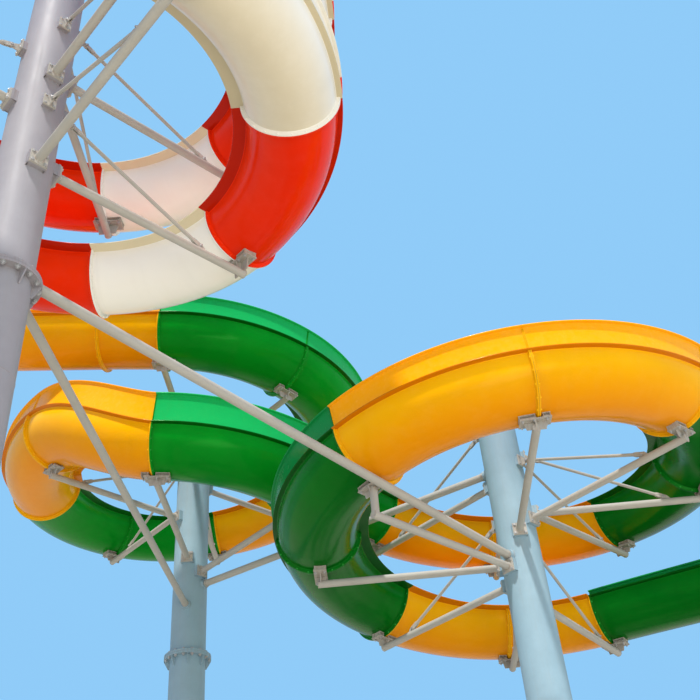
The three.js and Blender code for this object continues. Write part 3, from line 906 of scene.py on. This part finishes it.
def saddle(body, bolts, joint, at, reach, post, long, shift):
    """Bolted saddle under a joint: a plate along the flume on two crossed webs, and a shoe on each side."""
    middle, radius = near_joint(joint, 0), radius_of(joint)
    centre = -radius * middle.forward.z / sqrt(1 - middle.forward.z ** 2) + shift
    low, high = centre - long / 2, centre + long / 2
    top = -radius - SADDLE_DROP
    body.add(level_plate(middle, SADDLE_W / 2, top - SADDLE_PLATE, top, low, high), 0.5)
    for side, bay, limit in ((-1, joint.before, -low), (1, joint.after, high)):
        start, end = SHOE_START, limit - 0.006
        if not bay or end - start < 0.05:
            continue
        saddle_shoe(body, joint, side * start, side * end)
        spots = (start + 0.026, end - 0.026) if end - start > 0.1 else ((start + end) / 2,)
        for a in spots:
            for u in (-0.055, 0.055):
                place = on_station(middle, u, top - 0.001, side * a)
                through_bolt(bolts, place, middle.up, SADDLE_PLATE + 0.01, BOLT)
    ends = [at.inverted() @ on_station(middle, 0, top - 0.011, a) for a in (low, high)]
    rise = (ends[1].z - ends[0].z) / (ends[1].y - ends[0].y)

    def plate_at(t):
        return ends[0].z + rise * (t - ends[0].y)

    mid_t = (ends[0].y + ends[1].y) / 2
    web = [(mid_t - 0.3 * long, post), (mid_t + 0.3 * long, post)]
    web += [(t, plate_at(t)) for t in (mid_t + 0.36 * long, mid_t - 0.36 * long)]
    body.put(prism(web, -WEB, WEB), at @ axes(OUT * reach, ACROSS, UP, OUT), 0.3)
    cross = [(-0.045, post), (0.045, post), (0.074, plate_at(0)), (-0.074, plate_at(0))]
    body.put(prism(cross, -WEB, WEB), at @ Matrix.Translation(OUT * reach) @ UPRIGHT, 0.3)
    return plate_at(0)


def rod(body, bolts, at, reach):
    """The steep rod of an arm, with forked ends pinned to lugs on the column plate and on the arm."""
    top_r, foot_r = COLUMN_R + ROD_STAND, reach * ROD_OUT
    fall = (ROD_UP - 0.01) / (foot_r - top_r)

    def on_rod(r):
        return Vector((r, 0, ROD_UP - fall * (r - top_r)))

    upper, lower = on_rod(top_r + FORK_L), on_rod(foot_r - 0.14)
    way = (lower - upper).normalized()
    body.put(pipe(upper + way * FORK_L, lower - way * FORK_L, ROD_R, 24), at, 0.05)
    for pin, inward in ((upper, way), (lower, -way)):
        across = inward.cross(ACROSS)
        for t in (-1, 1):
            outline = [(0.115, 0.021), (0.085, FORK_R), (0.0, FORK_R)]
            outline += [(-FORK_R * sin(a), FORK_R * cos(a)) for a in (0.5, 1.05, 1.57, 2.1, 2.64)]
            outline += [(0.0, -FORK_R), (0.085, -FORK_R), (0.115, -0.021)]
            tab = prism(outline, t * 0.0065, t * 0.0145)
            body.put(tab, at @ axes(pin, inward, across, inward.cross(across)), 0.3)
        through_bolt(bolts, at @ pin, at.to_3x3() @ ACROSS, 0.029, BOLT)
    face = top_r - 0.002
    half, tall = ROD_PLATE_W / 2, ROD_PLATE_H / 2
    plate = block((face - ROD_PLATE, face), (-half, half), (ROD_UP - tall, ROD_UP + tall))
    body.put(plate, at, 0.2)
    lug = [(face - 0.002, ROD_UP + 0.045), (face - 0.002, ROD_UP - 0.07), (upper.x, upper.z - 0.032),
           (upper.x + 0.03, upper.z - 0.008), (upper.x + 0.028, upper.z + 0.018), (upper.x, upper.z + 0.032)]
    foot = ARM_R - 0.01
    low_lug = [(lower.x - 0.05, foot), (lower.x + 0.09, foot), (lower.x + 0.035, lower.z + 0.022),
               (lower.x, lower.z + 0.033), (lower.x - 0.03, lower.z + 0.02)]
    for outline in (lug, low_lug):
        body.put(prism(outline, -WEB, WEB), at @ UPRIGHT, 0.35)
    four_heads(bolts, at, Vector((face, 0, ROD_UP)), 0.045, 0.055, SMALL_BOLT)


def steel(node, body, bolts, look, slot, bevel):
    """The two pieces of a node of the steelwork: its steel and its bolts."""
    body.piece("steel_" + node, look, slot, node, bevel)
    bolts.piece("bolts_" + node, BOLT_LOOK, slot)


def arm(node, centre, azimuth, joint, reach, with_rod=True, post=0.0, long=SADDLE_L, shift=0.0):
    """One arm: bolted wall plate, tube with end cap, saddle, and the rod where there is one."""
    out = toward(azimuth).to_3d()
    z = near_joint(joint, 0).place.z - OVER_ARM - post
    at = outward(Vector((centre.x, centre.y, z)), out)
    body, bolts = Body(), Body()
    start, half, tall = PAD_FACE + GAP, PLATE_W / 2, PLATE_H / 2
    body.put(block((start, start + PLATE), (-half, half), (-tall, tall)), at, 0.2)
    tip = reach + ARM_END
    body.put(pipe(OUT * (start + 0.01), OUT * (tip - 0.005), ARM_R), at, 0.04)
    body.put(pipe(OUT * (tip - 0.006), OUT * tip, ARM_R + 0.002), at, 0.2)
    body.put(weld(OUT * (start + PLATE), OUT, ARM_R, 0.008), at, 0.6)
    four_heads(bolts, at, OUT * (start + PLATE), 0.062, 0.056, BOLT)
    top = saddle(body, bolts, joint, at, reach, post, long, shift)
    if post:
        body.put(pipe(OUT * reach, OUT * reach + UP * top, ARM_R), at, 0.05)
    if with_rod:
        rod(body, bolts, at, reach)
    steel(node, body, bolts, ARM_LOOK, "arm_paint", 0.0025)
    return azimuth, z, with_rod


def joint_of(bays, k):
    return Joint(bays[k - 1] if k else None, bays[k] if k < len(bays) else None)


middle_arms, right_arms = [], []
for m, az in enumerate(middle_az):
    if m != BARE_JOINT:
        joint = joint_of(slide, MIDDLE_START + m)
        middle_arms.append(arm(f"arm_mid_{m + 1}", MIDDLE, az, joint, MIDDLE_R, m in MIDDLE_RODS))
for n, az in enumerate(right_az):
    low = (POST, POST_SADDLE, POST_SHIFT) if n == POST_ARM else ()
    joint = joint_of(slide, RIGHT_START + n)
    with_rod = n not in RIGHT_WITHOUT_ROD
    right_arms.append(arm(f"arm_right_{n + 1}", RIGHT, az, joint, TURN_R, with_rod, *low))
left_arms = [arm(f"arm_left_{k + 1}", LEFT, ring_az[i], joint_of(ring, i), TURN_R)
             for k, i in enumerate(LEFT_ARMS)]


def collar(body, bolts, place, way, radius):
    """Welded end collar of a tie beam, with set screws round it."""
    low, high = radius - COLLAR_EDGE, radius + COLLAR_EDGE
    sleeve = ring_body([(low, 0), (high, 0), (high, COLLAR), (low, COLLAR)], PIPE_SIDES)
    body.put(sleeve, along(place, way), 0.25)
    body.add(weld(place + way * COLLAR, way, radius), 0.5)
    side = way.cross(UP).normalized()
    for i in range(6):
        a = pi * i / 3
        out = side * cos(a) + UP * sin(a)
        bolt_head(bolts, place + way * COLLAR / 2 + out * high, out, SCREW)


def tie(node, a, za, b, zb, radius=TIE_R):
    """A tie beam between the sockets of two columns."""
    body, bolts = Body(), Body()
    way = (b - a).normalized().to_3d()
    start = a.to_3d() + way * (SOCKET_FACE + GAP / 2) + UP * za
    end = b.to_3d() - way * (SOCKET_FACE + GAP / 2) + UP * zb
    body.add(pipe(start + way * 0.002, end - way * 0.002, radius), 0.04)
    collar(body, bolts, start, way, radius)
    collar(body, bolts, end, -way, radius)
    steel(node, body, bolts, ARM_LOOK, "arm_paint", 0.0015)


tie_lr = [level(h) for h in TIE_LEFT_RIGHT]
tie_lm = [level(h) for h in TIE_LEFT_MIDDLE]
tie_mr = [level(h) for h in TIE_MIDDLE_RIGHT]
tie("tie_left_right", LEFT, tie_lr[0], RIGHT, tie_lr[1])
tie("tie_left_mid", LEFT, tie_lm[0], MIDDLE, tie_lm[1], THIN_TIE_R)
tie("tie_mid_right", MIDDLE, tie_mr[0], RIGHT, tie_mr[1])


def splice(body, bolts, z):
    """Two bolted rings that join two lengths of pipe, with gussets under the lower one."""
    outer = COLUMN_R + SPLICE_EDGE
    for low, high in ((z - SPLICE, z - 0.001), (z + 0.001, z + SPLICE)):
        profile = [(COLUMN_R - 0.01, low), (outer, low), (outer, high), (COLUMN_R - 0.01, high)]
        body.add(ring_body(profile, COLUMN_SIDES), 0.25)
    body.add(weld(UP * (z + SPLICE), UP, COLUMN_R, 0.01), 0.5)
    edge = z - SPLICE
    outline = [(COLUMN_R - 0.006, edge), (outer - 0.004, edge), (outer - 0.004, edge - 0.02),
               (COLUMN_R + 0.015, edge - 0.13), (COLUMN_R - 0.006, edge - 0.13)]
    gusset = moved(prism(outline, -WEB, WEB), UPRIGHT)
    for i in range(SPLICE_BOLTS):
        a = 2 * pi * i / SPLICE_BOLTS
        spot = Vector((COLUMN_R + 0.052, 0, z))
        spot.rotate(Matrix.Rotation(a, 3, "Z"))
        through_bolt(bolts, spot, UP, 2 * SPLICE, SPLICE_BOLT)
        if i % 2 == 0:
            body.put(gusset, Matrix.Rotation(a + pi / SPLICE_BOLTS, 4, "Z"), 0.3)


def base(body, bolts):
    """Base plate with ribs and anchor bolts."""
    body.add(block((-BASE_HALF, BASE_HALF), (-BASE_HALF, BASE_HALF), (0, BASE)), 0.5)
    body.add(weld(UP * BASE, UP, COLUMN_R, 0.014), 0.7)
    for i in range(4):
        turned = Matrix.Rotation(i * pi / 2, 4, "Z")
        rib = [(ROOT_R, BASE - 0.01), (RIB_REACH, BASE - 0.01), (RIB_REACH, 2 * BASE),
               (COLUMN_R + 0.01, RIB_TOP), (ROOT_R, RIB_TOP)]
        body.put(prism(rib, -RIB, RIB), turned @ UPRIGHT, 0.35)
        for t in (-0.16, 0.16):
            spot = turned @ Vector((0.37, t, BASE))
            bolt_nut(bolts, spot, UP, ANCHOR)
            stud = lathe([(ANCHOR / 2, 0), (ANCHOR / 2, 0.085), (ANCHOR / 2 - 0.003, 0.09)], 16)
            bolts.put(stud, Matrix.Translation(spot), 0.6)


def bolting_pad(body, out, z):
    """Box on the column that an arm's wall plate is bolted to."""
    at = outward(UP * z, out)
    half, tall = PLATE_W / 2 + 0.01, PLATE_H / 2
    back = (ROOT_R, PAD_FACE - 0.02)
    body.put(block((PAD_FACE - 0.022, PAD_FACE), (-half, half), (-tall, tall)), at, 0.2)
    for t in (-1, 1):
        cheek = sorted((t * (half - 0.018), t * (half - 0.004)))
        body.put(block(back, cheek, (0.004 - tall, tall - 0.004)), at, 0.3)
        web = sorted((t * (tall - 0.016), t * (tall - 0.004)))
        body.put(block(back, (0.01 - half, half - 0.01), web), at, 0.3)


def column(node, centre, height, splice_z, arms, sockets, look=COLUMN_LOOK):
    """Pipe with seams, cap, splice, base, bolting pads and tie sockets."""
    body, bolts = Body(), Body()
    low = height - CAP
    body.add(lathe([(COLUMN_R, z) for z in (BASE - 0.01, splice_z, low)], COLUMN_SIDES), 0.03)
    edge = COLUMN_R + CAP_EDGE
    cap = [(edge - 0.003, low), (edge, low + 0.003), (edge, height - 0.003), (edge - 0.003, height)]
    body.add(lathe(cap, COLUMN_SIDES), 0.2)
    body.add(weld(UP * low, -UP, COLUMN_R, 0.01), 0.5)
    skin = OUT * (COLUMN_R - 0.001)
    seam = pipe(skin + UP * (BASE + 0.01), skin + UP * (low - 0.01), 0.004, 8)
    body.put(seam, Matrix.Rotation(SEAM_TURN, 4, "Z"), 0.3)
    for share in GIRTH_WELDS:
        z = splice_z * share
        profile = [(COLUMN_R - 0.002, z - 0.007), (COLUMN_R + 0.003, z), (COLUMN_R - 0.002, z + 0.007)]
        body.add(ring_body(profile, COLUMN_SIDES), 0.35)
    splice(body, bolts, splice_z)
    base(body, bolts)
    for azimuth, z, with_rod in arms:
        out = toward(azimuth).to_3d()
        bolting_pad(body, out, z)
        if with_rod:
            at = outward(UP * (z + ROD_UP), out)
            side = (-ROD_PAD / 2, ROD_PAD / 2)
            body.put(block((ROOT_R, COLUMN_R + ROD_PAD_OUT), side, side), at, 0.3)
    for azimuth, z in sockets:
        out = toward(azimuth).to_3d()
        face = UP * z + out * (SOCKET_FACE - GAP / 2)
        body.add(pipe(UP * z + out * ROOT_R, face, SOCKET_R), 0.1)
        body.add(weld(UP * z + out * (COLUMN_R - 0.006), out, SOCKET_R, 0.012), 0.5)
    place = Vector((centre.x, centre.y, 0))
    for part in (body, bolts):
        part.points = [p + place for p in part.points]
    steel(node, body, bolts, look, "column_paint", 0.003)


column("column_right", RIGHT, level(RIGHT_TOP), level(RIGHT_SPLICE), right_arms,
       [(bearing(RIGHT, LEFT), tie_lr[1]), (bearing(RIGHT, MIDDLE), tie_mr[1])])
column("column_mid", MIDDLE, level(MIDDLE_TOP), level(MIDDLE_SPLICE), middle_arms,
       [(bearing(MIDDLE, LEFT), tie_lm[1]), (bearing(MIDDLE, RIGHT), tie_mr[0])])
column("column_left", LEFT, level(LEFT_TOP), level(LEFT_SPLICE), left_arms,
       [(bearing(LEFT, RIGHT), tie_lr[0]), (bearing(LEFT, MIDDLE), tie_lm[0])], SHADED_FLUME_LIT_LOOK)


# Stage: floor, lights, camera

def floor():
    mesh = bpy.data.meshes.new("floor")
    half, shade_depth = 60.0, -0.002
    corners = [(x * half, y * half, shade_depth) for x, y in ((-1, -1), (1, -1), (1, 1), (-1, 1))]
    mesh.from_pydata(corners, [], [(0, 1, 2, 3)])
    n = Nodes("pale_floor")
    cloud = n.noise(n.place(), 0.6, 4)
    colour = n.blend(cloud, (0.52, 0.46, 0.37, 1), (0.58, 0.52, 0.43, 1))
    rough = n.span(cloud, 0, 1, 0.6, 0.8)
    mesh.materials.append(n.finish(colour, rough, n.bump(n.noise(n.place(), 30), 0.002)))
    placed("floor", mesh)


def lamp(name, kind, place, target, power, size=1.0, colour=(1, 1, 1), glint=True):
    data = bpy.data.lights.new(name, kind)
    data.energy, data.color = power, colour
    if kind == "AREA":
        data.shape, data.size, data.size_y = "RECTANGLE", size, size * 0.6
    else:
        data.angle = size
    light = placed(name, data)
    light.matrix_world = along(Vector(place), Vector(place) - Vector(target))
    light.visible_glossy = glint


def stage():
    floor()
    world = bpy.data.worlds.new("studio")
    bpy.context.scene.world = world
    world.use_nodes = True
    tree = world.node_tree
    backdrop = tree.nodes.new("ShaderNodeMix")
    backdrop.data_type = "RGBA"
    backdrop.inputs["A"].default_value = SKY_LIGHT
    backdrop.inputs["B"].default_value = SKY_SEEN
    seen = tree.nodes.new("ShaderNodeLightPath").outputs["Is Camera Ray"]
    tree.links.new(seen, backdrop.inputs["Factor"])
    tree.links.new(backdrop.outputs["Result"], tree.nodes["Background"].inputs["Color"])
    bpy.context.scene.view_settings.view_transform = "Standard"
    middle = (-2.5, -1.0, 8.0)  # of the flumes
    lamp("key", "SUN", (-6, -16, 34), middle, 3.9, radians(3), (1.0, 0.97, 0.92))
    lamp("low_window", "AREA", (1, -16, 2.6), middle, 600, 9, (1.0, 0.92, 0.78))
    lamp("right_window", "AREA", (18, -8, 6), middle, 600, 5, glint=False)
    lamp("back_window", "AREA", (4, 22, 16), middle, 500, 8, glint=False)
    data = bpy.data.cameras.new("camera")
    data.sensor_width, data.lens = 36.0, CAMERA_LENS
    data.clip_start, data.clip_end = 0.1, 500
    camera = placed("camera", data)
    camera.matrix_world = (Matrix.Translation(CAMERA_PLACE)
                           @ Matrix.Rotation(pi / 2 + CAMERA_PITCH, 4, "X")
                           @ Matrix.Rotation(-CAMERA_ROLL, 4, "Z"))
    bpy.context.scene.camera = camera


stage()
